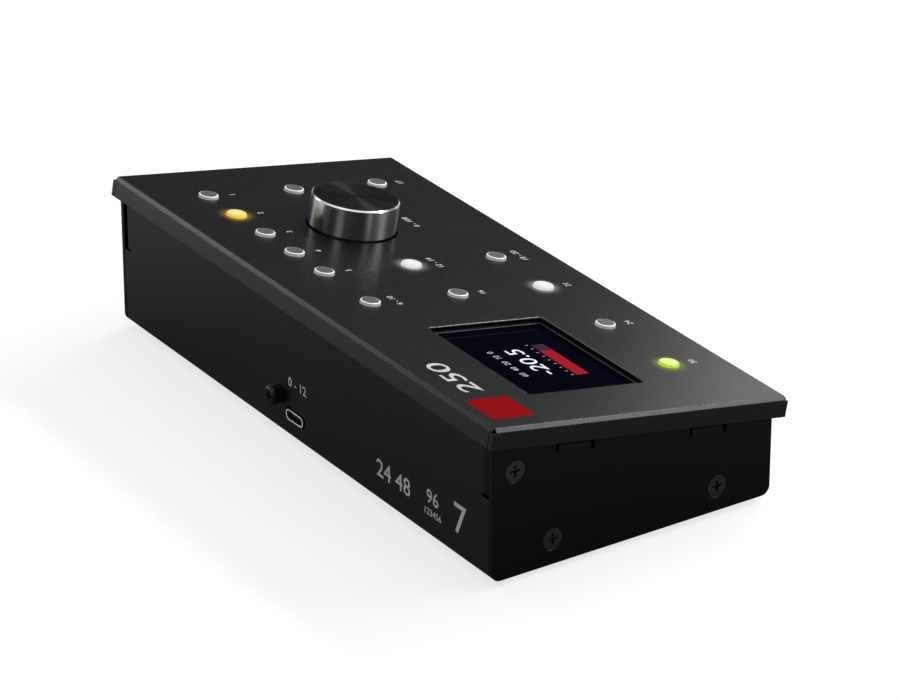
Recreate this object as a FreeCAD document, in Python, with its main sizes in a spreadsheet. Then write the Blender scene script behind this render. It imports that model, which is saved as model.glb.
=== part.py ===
import FreeCAD, Part
import os
import re
import Sketcher
from FreeCAD import Placement, Rotation, Vector

# Studio monitor controller: a wedge-shaped desktop box of folded sheet metal with a large
# volume knob, fourteen lit push buttons and a display window in its sloping cover.
# +X is the user's right, +Y runs to the rear wall, +Z is up, and Z = 0 is the desk.
# Pieces that follow the sloping cover are drawn in the cover's own frame: U along X,
# V up the slope to the rear, N square to the slope. U = V = N = 0 lies on the outer face
# of the rear wall, level with the lower edge of the cover's lip.

# Every driving size in millimetres, or in degrees for the slope.
SIZES = {
    # Folded sheet and overall box
    "sheet": 1.5,
    "bend_radius": 1.3,
    "slope": 10.0,
    "chassis_width": 196.0,
    "chassis_depth": 93.1,
    "rear_height": 40.7,
    "rear_wall_y": 46.8,
    "wall_rise": 0.8,
    "plate_gap": 0.15,
    # Cover tray
    "cover_gap": 0.5,
    "cover_depth": 99.6,
    "cover_height": 6.1,
    "cover_chamfer": 1.0,
    "cover_overhang": 2.0,
    "seam_width": 0.3,
    "seam_depth": 1.65,
    "corner_relief": 1.1,
    # Display window
    "window_width": 50.1,
    "window_depth": 39.3,
    "window_radius": 1.2,
    "window_from_left": 44.15,
    "window_from_rear": 44.65,
    "glass_margin": 2.3,
    "gasket_height": 0.5,
    "glass_height": 1.1,
    "panel_height": 2.6,
    "panel_inset": 0.5,
    "panel_corner": 0.8,
    "pad_inset": 3.0,
    # Buttons
    "row_first": 19.6,
    "row_pitch": 30.0,
    "key_from_right": 22.1,
    "output_from_window": 20.6,
    "key_from_output": 24.1,
    "talk_from_left": 59.2,
    "function_from_left": 29.0,
    "cap_diameter": 6.0,
    "cap_proud": 0.78,
    "cap_round": 0.5,
    "cap_clearance": 0.25,
    "flange_overlap": 0.6,
    "flange_height": 0.8,
    "flange_gap": 0.3,
    "stem_diameter": 3.2,
    "stem_height": 3.2,
    "stem_clearance": 0.08,
    "switch_side": 6.2,
    "switch_height": 3.5,
    "switch_well": 2.2,
    # Volume knob and encoder
    "knob_diameter": 26.2,
    "knob_height": 9.0,
    "knob_gap": 0.5,
    "knob_chamfer": 0.45,
    "knob_skirt": 2.2,
    "knob_roof": 1.8,
    "knob_boss": 11.0,
    "knob_boss_lift": 2.9,
    "knob_hole_clearance": 0.6,
    "shaft_diameter": 6.0,
    "shaft_flat": 1.5,
    "shaft_clearance": 0.05,
    "bushing_diameter": 7.6,
    "bushing_height": 4.6,
    "encoder_side": 12.4,
    "encoder_height": 6.4,
    "encoder_floor": 2.0,
    # Main board
    "board_drop": 6.6,
    "board_height": 1.6,
    "board_margin": 15.0,
    "board_depth": 83.0,
    "board_from_rear": 7.0,
    "post_diameter": 5.6,
    "post_inset_u": 4.4,
    "post_inset_v": 3.6,
    # End plates, their tabs and the tabs of the chassis
    "tab_width": 10.7,
    "tab_length": 11.5,
    "tab_rear": -27.6,
    "tab_pitch": 45.0,
    "tab_relief": 1.0,
    "tab_relief_depth": 3.6,
    "side_tab_length": 14.0,
    "side_tab_bottom": 25.3,
    "side_tab_top": 39.0,
    "side_relief": 1.0,
    "side_relief_width": 3.5,
    "foot_tab_width": 14.0,
    "foot_tab_height": 12.6,
    # Countersunk screws of the end plates
    "upper_screw_y": 7.4,
    "upper_screw_z": 31.6,
    "lower_screw_y": 19.8,
    "lower_screw_z": 7.6,
    "lower_screw_pitch": 55.0,
    "sink_diameter": 6.9,
    "sink_depth": 1.4,
    "sunk_head": 6.3,
    "sunk_head_height": 1.4,
    "sunk_head_rim": 0.2,
    "screw_shank": 2.9,
    "screw_length": 7.0,
    "thread_clearance": 0.05,
    "cross_span": 3.3,
    "cross_width": 0.75,
    "cross_depth": 0.9,
    # Pan head screws
    "pan_head": 5.8,
    "pan_head_height": 1.5,
    "pan_head_round": 0.9,
    # Cord post on the rear wall
    "cord_post_x": 9.8,
    "cord_post_z": 12.3,
    "cord_post_diameter": 5.6,
    "cord_post_length": 1.9,
    # USB-C socket and its board
    "socket_x": 0.83,
    "socket_z": 8.0,
    "socket_width": 9.0,
    "socket_height": 3.3,
    "socket_round": 1.6,
    "socket_wall": 0.32,
    "socket_length": 7.4,
    "socket_proud": 0.4,
    "socket_gap": 0.55,
    "tongue_width": 6.6,
    "tongue_height": 0.7,
    "tongue_setback": 0.9,
    "small_board_width": 24.0,
    "small_board_depth": 20.0,
    "small_board_setback": 1.2,
    "spacer_diameter": 4.6,
    "spacer_inset": 3.2,
    # Flat cable between the boards
    "ribbon_x": 4.0,
    "ribbon_width": 9.0,
    "ribbon_height": 0.5,
    "ribbon_back": 17.0,
    "ribbon_margin": 1.0,
    "ribbon_radius": 4.0,
    "header_width": 12.0,
    "header_depth": 4.6,
    "header_height": 3.0,
    # Rubber feet
    "foot_height": 2.0,
    "foot_diameter": 11.0,
    "foot_taper": 0.5,
    "foot_inset": 13.0,
}

doc = FreeCAD.newDocument("monitor_controller")
sheet = doc.addObject("Spreadsheet::Sheet", "sizes")
for row, (alias, value) in enumerate(SIZES.items(), start=1):
    sheet.set(f"A{row}", alias)
    sheet.set(f"B{row}", str(value))
    sheet.setAlias(f"B{row}", alias)
doc.recompute()


def bound(text):
    """An expression with each named size turned into a reference to its cell."""
    return re.sub(r"[a-z_]+", lambda m: f"sizes.{m[0]}" if m[0] in SIZES else m[0], str(text))


def number(text):
    """The present value of an expression of named sizes."""
    return float(sheet.evalExpression(bound(text)))


def place(body, x="0", y="0", z="0", axis=(1, 0, 0), angle="0"):
    """Bind a body's place and its turn about one axis to the named sizes."""
    body.Placement = Placement(Vector(0, 0, 0), Rotation(Vector(*axis), 45))
    body.setExpression("Placement.Base.x", bound(x))
    body.setExpression("Placement.Base.y", bound(y))
    body.setExpression("Placement.Base.z", bound(z))
    body.setExpression("Placement.Rotation.Angle", bound(angle))


def slope_y(v, n="0"):
    """World Y of a point of the cover's frame."""
    return f"rear_wall_y + ({v}) * cos(slope) - ({n}) * sin(slope)"


def slope_z(v, n="0"):
    """World Z of a point of the cover's frame."""
    return f"foot_height + rear_height + ({v}) * sin(slope) + ({n}) * cos(slope)"


def place_on_slope(body, u="0", v="0"):
    """Stand a body in the cover's frame with its own Z along N."""
    place(body, u, slope_y(v), slope_z(v), (1, 0, 0), "slope")


def new_body(label):
    body = doc.addObject("PartDesign::Body", label)
    body.Label = label
    body.AllowCompound = True
    return body


def draw(body, role, offset, *outlines):
    """A constrained sketch on one origin plane of the body, moved along its normal.

    An outline is a list of (x, y) corners, or one (x, y, radius) circle, all of them
    expressions of named sizes.
    """
    sketch = body.newObject("Sketcher::SketchObject", f"{body.Name}_sketch")
    plane = next(p for p in body.Origin.OriginFeatures if p.Role == role)
    sketch.AttachmentSupport = [(plane, "")]
    sketch.MapMode = "FlatFace"
    sketch.setExpression("AttachmentOffset.Base.z", bound(offset))
    for outline in outlines:
        if isinstance(outline, tuple):
            add_circle(sketch, *outline)
        else:
            add_corners(sketch, outline)
    doc.recompute()
    return sketch


def hold_point(sketch, geometry, point, x, y):
    """Hold one point of the sketch at x, y from the origin."""
    for kind, text, axis in (("DistanceX", x, -2), ("DistanceY", y, -1)):
        value = number(text)
        if abs(value) < 1e-9:
            sketch.addConstraint(Sketcher.Constraint("PointOnObject", geometry, point, axis))
            continue
        index = sketch.addConstraint(Sketcher.Constraint(kind, -1, 1, geometry, point, value))
        sketch.setExpression(f"Constraints[{index}]", bound(text))


def add_circle(sketch, x, y, radius):
    centre = Vector(number(x), number(y), 0)
    circle = sketch.addGeometry(Part.Circle(centre, Vector(0, 0, 1), number(radius)))
    hold_point(sketch, circle, 3, x, y)
    index = sketch.addConstraint(Sketcher.Constraint("Radius", circle, number(radius)))
    sketch.setExpression(f"Constraints[{index}]", bound(radius))


def add_corners(sketch, corners):
    points = [Vector(number(x), number(y), 0) for x, y in corners]
    lines = []
    for start, end in zip(points, points[1:] + points[:1]):
        lines.append(sketch.addGeometry(Part.LineSegment(start, end)))
    for line, following in zip(lines, lines[1:] + lines[:1]):
        sketch.addConstraint(Sketcher.Constraint("Coincident", line, 2, following, 1))
    for line, (x, y) in zip(lines, corners):
        hold_point(sketch, line, 1, x, y)


def rectangle(x_low, x_high, y_low, y_high):
    return [(x_low, y_low), (x_high, y_low), (x_high, y_high), (x_low, y_high)]


def centred(width, depth, x="0", y="0"):
    """A rectangle given by its sides and its centre."""
    return rectangle(
        f"{x} - ({width}) / 2", f"{x} + ({width}) / 2", f"{y} - ({depth}) / 2", f"{y} + ({depth}) / 2"
    )


def pad(body, role, start, length, *outlines):
    """Add material from the start along the plane's normal."""
    sketch = draw(body, role, start, *outlines)
    feature = body.newObject("PartDesign::Pad", f"{body.Name}_pad")
    feature.Profile = sketch
    feature.setExpression("Length", bound(length))
    doc.recompute()
    return feature


def cut(body, role, start, depth, *outlines):
    """Take material away from the start against the plane's normal."""
    before = body.Tip.Shape.Volume
    sketch = draw(body, role, start, *outlines)
    feature = body.newObject("PartDesign::Pocket", f"{body.Name}_cut")
    feature.Profile = sketch
    feature.setExpression("Length", bound(depth))
    doc.recompute()
    if body.Tip.Shape.Volume > before - 1e-6:
        raise RuntimeError(f"{body.Name}: a cut removed nothing")
    return feature


def turn(body, corners):
    """A solid of revolution about the body's Z axis, from a half section in X and Z."""
    sketch = draw(body, "XZ_Plane", "0", corners)
    feature = body.newObject("PartDesign::Revolution", f"{body.Name}_turned")
    feature.Profile = sketch
    feature.ReferenceAxis = (sketch, ["V_Axis"])
    feature.Angle = 360
    doc.recompute()
    return feature


def dress(body, kind, size, wanted):
    """Fillet or chamfer the edges for which wanted(edge) is true."""
    base = body.Tip
    names = [f"Edge{i}" for i, edge in enumerate(base.Shape.Edges, start=1) if wanted(edge)]
    if not names:
        raise RuntimeError(f"{body.Name}: no edge to dress")
    feature = body.newObject(f"PartDesign::{kind}", f"{body.Name}_{kind.lower()}")
    feature.Base = (base, names)
    feature.setExpression("Radius" if kind == "Fillet" else "Size", bound(size))
    doc.recompute()
    return feature


def hollow_out(body, wall, is_mouth):
    """Turn a solid into a shell that is open at one face."""
    base = body.Tip
    names = [f"Face{i}" for i, face in enumerate(base.Shape.Faces, start=1) if is_mouth(face)]
    feature = body.newObject("PartDesign::Thickness", f"{body.Name}_shell")
    feature.Base = (base, names)
    feature.Reversed = True
    feature.setExpression("Value", bound(wall))
    doc.recompute()
    if feature.Shape.Volume > base.Shape.Volume:
        raise RuntimeError(f"{body.Name}: hollowed the wrong way")
    return feature


def near(value, text):
    return abs(value - number(text)) < 1e-4


def along(edge, direction):
    """True for a straight edge that runs along the direction."""
    if edge.Curve.TypeId != "Part::GeomLine":
        return False
    return abs(abs(edge.tangentAt(edge.FirstParameter).dot(Vector(*direction))) - 1) < 1e-6


def upright(edge):
    return along(edge, (0, 0, 1))


def round_edge(radius, z):
    """A test for a full circle of this radius at this height."""

    def wanted(edge):
        if edge.Curve.TypeId != "Part::GeomCircle":
            return False
        return near(edge.Curve.Radius, radius) and near(edge.CenterOfMass.z, z)

    return wanted


# Heights along N that many pieces share
UNDERSIDE = "(cover_height - sheet)"
BOARD_TOP = f"({UNDERSIDE} - board_drop)"
BOARD_BOTTOM = f"({BOARD_TOP} - board_height)"
FLANGE_TOP = f"({UNDERSIDE} - flange_gap)"
FLANGE_BOTTOM = f"({FLANGE_TOP} - flange_height)"
SWITCH_TOP = f"({BOARD_TOP} + switch_height)"
GLASS_TOP = f"({UNDERSIDE} - gasket_height)"
GLASS_BOTTOM = f"({GLASS_TOP} - glass_height)"
PANEL_BOTTOM = f"({GLASS_BOTTOM} - panel_height)"
KNOB_BOTTOM = "(cover_height + knob_gap)"
KNOB_TOP = f"({KNOB_BOTTOM} + knob_height)"
KNOB_CEILING = f"({KNOB_TOP} - knob_roof)"
KNOB_BOSS_END = f"({KNOB_BOTTOM} + knob_boss_lift)"
ENCODER_TOP = f"({BOARD_TOP} + encoder_height)"
BUSHING_TOP = f"({ENCODER_TOP} + bushing_height)"

# The cover reaches over both end plates, and the board stays inside them
COVER_WIDTH = "(chassis_width + 2 * sheet + 2 * cover_gap)"
BOARD_WIDTH = "(chassis_width - 2 * board_margin)"
WINDOW_U = f"(window_from_left - {COVER_WIDTH} / 2)"
WINDOW_V = "(cover_overhang - window_from_rear)"

# Rows of buttons along V, and columns along U: five of even pitch between the output
# button, which stands beside the window, and the right edge, and two under the window
ROWS = [f"(cover_overhang - row_first - {i} * row_pitch)" for i in range(3)]
OUTPUT_U = f"({WINDOW_U} + window_width / 2 + output_from_window)"
FIRST_KEY = f"({OUTPUT_U} + key_from_output)"
LAST_KEY = f"({COVER_WIDTH} / 2 - key_from_right)"
KEY_COLUMNS = [f"({FIRST_KEY} + {i} * ({LAST_KEY} - {FIRST_KEY}) / 4)" for i in range(5)]
TALK_U = f"(talk_from_left - {COVER_WIDTH} / 2)"
FUNCTION_U = f"(function_from_left - {COVER_WIDTH} / 2)"
BUTTONS = {
    "rear_1": (KEY_COLUMNS[4], ROWS[0]),
    "rear_2": (KEY_COLUMNS[3], ROWS[0]),
    "rear_3": (KEY_COLUMNS[2], ROWS[0]),
    "rear_4": (KEY_COLUMNS[1], ROWS[0]),
    "rear_5": (KEY_COLUMNS[0], ROWS[0]),
    "rear_6": (OUTPUT_U, ROWS[0]),
    "middle_1": (KEY_COLUMNS[4], ROWS[1]),
    "middle_2": (KEY_COLUMNS[0], ROWS[1]),
    "middle_3": (OUTPUT_U, ROWS[1]),
    "front_1": (KEY_COLUMNS[4], ROWS[2]),
    "front_2": (KEY_COLUMNS[0], ROWS[2]),
    "front_3": (OUTPUT_U, ROWS[2]),
    "front_4": (TALK_U, ROWS[2]),
    "front_5": (FUNCTION_U, ROWS[2]),
}
KNOB_U = KEY_COLUMNS[2]
KNOB_V = ROWS[1]

# World places that the level pieces share
FLOOR = "foot_height"
FLOOR_TOP = "(foot_height + sheet)"
FRONT_Y = "(rear_wall_y - chassis_depth)"
PLATE_X = "(chassis_width / 2)"
PAN_X = "(chassis_width / 2 - sheet - plate_gap)"
REAR_TOP = "(foot_height + rear_height + wall_rise)"
FRONT_TOP = f"({REAR_TOP} - chassis_depth * tan(slope))"
UPPER_SCREW = ("(rear_wall_y - upper_screw_y)", "(foot_height + upper_screw_z)")
LOWER_SCREWS = [
    (f"(rear_wall_y - lower_screw_y - {i} * lower_screw_pitch)", "(foot_height + lower_screw_z)")
    for i in range(2)
]
SOCKET_Z = "(foot_height + socket_z)"
SOCKET_FACE = "(rear_wall_y + socket_proud)"
SMALL_BOARD_TOP = f"({SOCKET_Z} - socket_height / 2)"
SMALL_BOARD_BOTTOM = f"({SMALL_BOARD_TOP} - board_height)"
SMALL_BOARD_REAR = "(rear_wall_y - sheet - small_board_setback)"
SMALL_BOARD_FRONT = f"({SMALL_BOARD_REAR} - small_board_depth)"
RIBBON_Y = f"({SMALL_BOARD_FRONT} + header_depth / 2 + ribbon_margin)"
RIBBON_V = "(-ribbon_back)"
THREAD = "(screw_shank / 2 + thread_clearance)"
SIDES = {"left": -1, "right": 1}

# Screw places in the cover's frame
TAB_SCREW_U = "(chassis_width / 2 - tab_length / 2 - sheet / 2)"
TABS_V = [f"(tab_rear - {i} * tab_pitch)" for i in range(2)]
BOARD_REAR = "(-board_from_rear)"
POSTS = [
    (f"{column} * ({BOARD_WIDTH} / 2 - post_inset_u)", v)
    for column in (-1, 0, 1)
    for v in (f"({BOARD_REAR} - post_inset_v)", f"({BOARD_REAR} - board_depth + post_inset_v)")
]


def circles(places, radius):
    return [(u, v, radius) for u, v in places]


def cross(x, y):
    """The outline of a cross recess."""
    arm, half = "cross_span / 2", "cross_width / 2"
    steps = [(arm, half), (half, half), (half, arm)]
    corners = []
    for x_sign, y_sign in ((1, 1), (-1, 1), (-1, -1), (1, -1)):
        quarter = steps if x_sign == y_sign else steps[::-1]
        corners += [(f"{x} + {x_sign} * {a}", f"{y} + {y_sign} * {b}") for a, b in quarter]
    return corners


def inward(side, shallow, deep):
    """Low and high X of a layer between two depths under an end plate's outer face."""
    if side < 0:
        return f"({shallow} - {PLATE_X})", f"({deep} - {PLATE_X})"
    return f"({PLATE_X} - ({deep}))", f"({PLATE_X} - ({shallow}))"


def make_chassis_pan():
    """The base, folded up into a front and a rear wall, with tabs at its two ends."""
    body = new_body("chassis_pan")
    section = [
        ("rear_wall_y", REAR_TOP),
        ("rear_wall_y", FLOOR),
        (FRONT_Y, FLOOR),
        (FRONT_Y, FRONT_TOP),
        (f"{FRONT_Y} + sheet", FRONT_TOP),
        (f"{FRONT_Y} + sheet", FLOOR_TOP),
        ("rear_wall_y - sheet", FLOOR_TOP),
        ("rear_wall_y - sheet", REAR_TOP),
    ]
    pad(body, "YZ_Plane", f"-{PAN_X}", f"2 * {PAN_X}", section)

    def long_edge(z):
        return lambda edge: along(edge, (1, 0, 0)) and near(edge.CenterOfMass.z, z)

    dress(body, "Fillet", "bend_radius + sheet", long_edge(FLOOR))
    dress(body, "Fillet", "bend_radius", long_edge(FLOOR_TOP))

    # Tabs that take the end plates' screws: one from the rear wall and two from the floor, at each end
    tab_low = "foot_height + side_tab_bottom"
    tab_high = "foot_height + side_tab_top"
    tabs = [rectangle("rear_wall_y - side_tab_length", "rear_wall_y", tab_low, tab_high)]
    slot_places = []
    for y, _ in LOWER_SCREWS:
        low, high = f"{y} - foot_tab_width / 2", f"{y} + foot_tab_width / 2"
        tabs.append(rectangle(low, high, FLOOR, "foot_height + foot_tab_height"))
        slot_places += [f"{low} - side_relief", high]
    for start in (f"-{PAN_X}", f"{PAN_X} - sheet"):
        pad(body, "YZ_Plane", start, "sheet", *tabs)

    # Relief cuts above and below the rear tabs, and on both sides of the floor tabs
    notches = []
    slots = []
    for side in SIDES.values():
        inner = f"{side} * ({PAN_X} - side_relief_width)"
        outer = f"{side} * ({PAN_X} + sheet)"
        for low in (f"{tab_low} - side_relief", tab_high):
            notches.append(rectangle(inner, outer, low, f"{low} + side_relief"))
        for low in slot_places:
            slots.append(rectangle(inner, outer, low, f"{low} + side_relief"))
    wall_inside = "-(rear_wall_y - 2 * sheet)"
    cut(body, "XZ_Plane", wall_inside, "3 * sheet", *notches)
    cut(body, "XY_Plane", "foot_height + 2 * sheet", "3 * sheet", *slots)

    def rear_tab_bend(edge):
        x, y = abs(edge.CenterOfMass.x), edge.CenterOfMass.y
        tall = near(edge.Length, "side_tab_top - side_tab_bottom")
        return upright(edge) and tall and near(x, PAN_X) and near(y, "rear_wall_y")

    def floor_tab_bend(edge):
        x, z = abs(edge.CenterOfMass.x), edge.CenterOfMass.z
        wide = near(edge.Length, "foot_tab_width")
        return along(edge, (0, 1, 0)) and wide and near(x, PAN_X) and near(z, FLOOR)

    dress(body, "Fillet", "bend_radius + sheet", rear_tab_bend)
    dress(body, "Fillet", "bend_radius + sheet", floor_tab_bend)

    # Threaded holes for the end plates' screws, then the openings of the rear wall
    cut(body, "YZ_Plane", PLATE_X, "chassis_width", *circles([UPPER_SCREW, *LOWER_SCREWS], THREAD))
    opening = [f"{side} + 2 * socket_gap" for side in ("socket_width", "socket_height")]
    socket = centred(*opening, "socket_x", SOCKET_Z)
    post = ("cord_post_x", "foot_height + cord_post_z", THREAD)
    cut(body, "XZ_Plane", wall_inside, "3 * sheet", socket, post)
    dress(body, "Fillet", "socket_round", socket_corner("socket_gap"))


def socket_corner(grown):
    """A test for the corner edges of the socket's outline, grown by some amount."""

    def wanted(edge):
        x = abs(edge.CenterOfMass.x - number("socket_x"))
        z = abs(edge.CenterOfMass.z - number(SOCKET_Z))
        corner = near(x, f"socket_width / 2 + {grown}") and near(z, f"socket_height / 2 + {grown}")
        return along(edge, (0, 1, 0)) and corner

    return wanted


def on_slope(y, z):
    """V and N of a world point."""
    back, up = f"({y} - rear_wall_y)", f"({z} - foot_height - rear_height)"
    return f"({back} * cos(slope) + {up} * sin(slope))", f"({up} * cos(slope) - {back} * sin(slope))"


def make_end_plate(name, side):
    """An end wall screwed to the chassis, with two tabs bent in under the cover."""
    body = new_body(f"end_plate_{name}")
    place_on_slope(body)
    corners = [(FRONT_Y, FLOOR), ("rear_wall_y", FLOOR), ("rear_wall_y", REAR_TOP), (FRONT_Y, FRONT_TOP)]
    low, high = inward(side, "0", "sheet")
    pad(body, "YZ_Plane", low, "sheet", [on_slope(y, z) for y, z in corners])

    def lower_corner(edge):
        places = [on_slope(y, z) for y, z in corners[:2]]
        middle = edge.CenterOfMass
        return along(edge, (1, 0, 0)) and any(near(middle.y, v) and near(middle.z, n) for v, n in places)

    dress(body, "Fillet", "bend_radius + sheet", lower_corner)

    # Room above each tab, a relief slot on both sides of it, then the tab itself
    reliefs = []
    tabs = []
    for v in TABS_V:
        start, end = f"{v} - tab_width / 2", f"{v} + tab_width / 2"
        outer = [(f"{start} - tab_relief", "2 * wall_rise"), (f"{start} - tab_relief", "-tab_relief_depth")]
        outer += [(start, "-tab_relief_depth"), (start, "0"), (end, "0"), (end, "-tab_relief_depth")]
        outer += [(f"{end} + tab_relief", "-tab_relief_depth"), (f"{end} + tab_relief", "2 * wall_rise")]
        reliefs.append(outer)
        tabs.append(rectangle(start, end, "-sheet", "0"))
    cut(body, "YZ_Plane", high, "sheet", *reliefs)
    tab_low, _ = inward(side, "0", "tab_length")
    pad(body, "YZ_Plane", tab_low, "tab_length", *tabs)

    def tab_bend(edge):
        middle = edge.CenterOfMass
        at_bend = near(middle.x * side, PLATE_X) and near(middle.z, "0")
        return along(edge, (0, 1, 0)) and at_bend and near(edge.Length, "tab_width")

    dress(body, "Fillet", "bend_radius + sheet", tab_bend)
    screws = [(f"{side} * {TAB_SCREW_U}", v) for v in TABS_V]
    cut(body, "XY_Plane", "sheet", "3 * sheet", *circles(screws, THREAD))

    # Countersunk holes for the three screws
    holes = [on_slope(y, z) for y, z in (UPPER_SCREW, *LOWER_SCREWS)]
    radius = "sink_diameter / 2 - sink_depth"
    cut(body, "YZ_Plane", high, "sheet", *circles(holes, radius))

    def sink_rim(edge):
        if edge.Curve.TypeId != "Part::GeomCircle":
            return False
        return near(edge.Curve.Radius, radius) and near(edge.CenterOfMass.x * side, PLATE_X)

    dress(body, "Chamfer", "sink_depth", sink_rim)


def make_end_screws(name, side):
    """Three countersunk screws with cross recesses."""
    body = new_body(f"end_screws_{name}")
    places = [UPPER_SCREW, *LOWER_SCREWS]
    recess = "((sink_diameter - sunk_head) / 2 - sunk_head_rim)"
    low, high = inward(side, recess, f"{recess} + sunk_head_height")
    pad(body, "YZ_Plane", low, "sunk_head_height", *circles(places, "sunk_head / 2"))

    def head_underside(edge):
        if edge.Curve.TypeId != "Part::GeomCircle":
            return False
        return near(edge.CenterOfMass.x, high if side < 0 else low)

    dress(body, "Chamfer", "sunk_head_height - sunk_head_rim", head_underside)
    low, high = inward(side, f"{recess} + sunk_head_height", "screw_length")
    pad(body, "YZ_Plane", low, f"{high} - {low}", *circles(places, "screw_shank / 2"))
    low, high = inward(side, recess, f"{recess} + cross_depth")
    cut(body, "YZ_Plane", high, "cross_depth", *[cross(y, z) for y, z in places])


def make_cover():
    """A shallow folded tray: flat top, narrow slanting edge and a lip all round."""
    body = new_body("cover")
    place_on_slope(body)
    rear, front = "cover_overhang", "cover_overhang - cover_depth"
    side_edge = f"{COVER_WIDTH} / 2"
    outline = rectangle(f"-{side_edge}", side_edge, front, rear)
    pad(body, "XY_Plane", "0", "cover_height", outline)

    def top_edge(edge):
        return not upright(edge) and near(edge.CenterOfMass.z, "cover_height")

    dress(body, "Chamfer", "cover_chamfer", top_edge)
    inside = rectangle(
        f"sheet - {side_edge}", f"{side_edge} - sheet", f"{front} + sheet", f"{rear} - sheet"
    )
    cut(body, "XY_Plane", UNDERSIDE, "cover_height", inside)

    # Each corner: an open seam beside the end lip, and a notch where three bends meet
    seams = []
    notches = []
    for side in SIDES.values():
        seam = (f"{side} * ({side_edge} - sheet - seam_width)", f"{side} * ({side_edge} - sheet)")
        notch = (f"{side} * ({side_edge} - corner_relief)", f"{side} * ({side_edge} + sheet)")
        for edge, way in ((rear, 1), (front, -1)):
            outside = f"{edge} + {way} * sheet"
            seams.append(rectangle(*seam, f"{edge} - {way} * seam_depth", outside))
            notches.append(rectangle(*notch, f"{edge} - {way} * corner_relief", outside))
    cut(body, "XY_Plane", "cover_height - cover_chamfer", "cover_height", *seams)
    cut(body, "XY_Plane", "cover_height + sheet", "cover_chamfer + sheet + seam_width", *notches)

    # Display window, button holes and the wide hole under the knob
    window = centred("window_width", "window_depth", WINDOW_U, WINDOW_V)
    cut(body, "XY_Plane", "cover_height + sheet", "3 * sheet", window)

    def window_corner(edge):
        x = abs(edge.CenterOfMass.x - number(WINDOW_U))
        y = abs(edge.CenterOfMass.y - number(WINDOW_V))
        return upright(edge) and near(x, "window_width / 2") and near(y, "window_depth / 2")

    dress(body, "Fillet", "window_radius", window_corner)
    holes = circles(BUTTONS.values(), "cap_diameter / 2 + cap_clearance")
    holes.append((KNOB_U, KNOB_V, "knob_diameter / 2 + knob_hole_clearance"))
    cut(body, "XY_Plane", "cover_height + sheet", "3 * sheet", *holes)


def make_plate_under_window(label, bottom, height, margin, corner):
    """A flat rounded rectangle centred under the display window."""
    body = new_body(label)
    place_on_slope(body, WINDOW_U, WINDOW_V)
    sides = centred(f"window_width + 2 * ({margin})", f"window_depth + 2 * ({margin})")
    pad(body, "XY_Plane", bottom, height, sides)
    dress(body, "Fillet", corner, upright)
    return body


def make_display():
    """Gasket, cover glass, panel and foam pad, stacked from the cover down to the board."""
    rim = ("glass_margin", "panel_corner")
    gasket = make_plate_under_window("display_gasket", GLASS_TOP, "gasket_height", *rim)
    cut(gasket, "XY_Plane", "cover_height", "cover_height", centred("window_width", "window_depth"))

    def opening_corner(edge):
        return upright(edge) and near(abs(edge.CenterOfMass.x), "window_width / 2")

    dress(gasket, "Fillet", "window_radius", opening_corner)
    make_plate_under_window("display_glass", GLASS_BOTTOM, "glass_height", *rim)
    margin = "glass_margin - panel_inset"
    make_plate_under_window("display_panel", PANEL_BOTTOM, "panel_height", margin, "panel_corner")
    height = f"{PANEL_BOTTOM} - {BOARD_TOP}"
    make_plate_under_window("display_pad", BOARD_TOP, height, "glass_margin - pad_inset", "panel_corner")


def make_main_board():
    """The circuit board, hung under the cover on six posts, with its screws."""
    board = new_body("main_board")
    place_on_slope(board)
    side_edge = f"{BOARD_WIDTH} / 2"
    outline = rectangle(f"-{side_edge}", side_edge, f"{BOARD_REAR} - board_depth", BOARD_REAR)
    pad(board, "XY_Plane", BOARD_BOTTOM, "board_height", outline, *circles(POSTS, THREAD))

    def corner(edge):
        return upright(edge) and near(abs(edge.CenterOfMass.x), side_edge)

    dress(board, "Fillet", "panel_corner", corner)

    posts = new_body("board_posts")
    place_on_slope(posts)
    rings = circles(POSTS, "post_diameter / 2") + circles(POSTS, THREAD)
    pad(posts, "XY_Plane", BOARD_TOP, "board_drop", *rings)
    make_pan_screws("board_screws", POSTS, BOARD_BOTTOM, "board_height + board_drop / 2")


def make_pan_screws(label, places, seat, shank_length):
    """Pan head screws driven up from below, heads against the seat."""
    body = new_body(label)
    place_on_slope(body)
    head_bottom = f"{seat} - pan_head_height"
    heads = circles(places, "pan_head / 2 - thread_clearance")
    pad(body, "XY_Plane", head_bottom, "pan_head_height", *heads)

    def rim(edge):
        return edge.Curve.TypeId == "Part::GeomCircle" and near(edge.CenterOfMass.z, head_bottom)

    dress(body, "Fillet", "pan_head_round", rim)
    pad(body, "XY_Plane", seat, shank_length, *circles(places, "screw_shank / 2"))


def make_cover_fixings():
    """Spacers under the cover that stand on the end plates' tabs, and their screws."""
    places = [(f"{side} * {TAB_SCREW_U}", v) for side in SIDES.values() for v in TABS_V]
    spacers = new_body("cover_spacers")
    place_on_slope(spacers)
    rings = circles(places, "post_diameter / 2") + circles(places, THREAD)
    pad(spacers, "XY_Plane", "0", UNDERSIDE, *rings)
    make_pan_screws("cover_screws", places, "(-sheet)", f"sheet + {UNDERSIDE} / 2")


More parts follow.
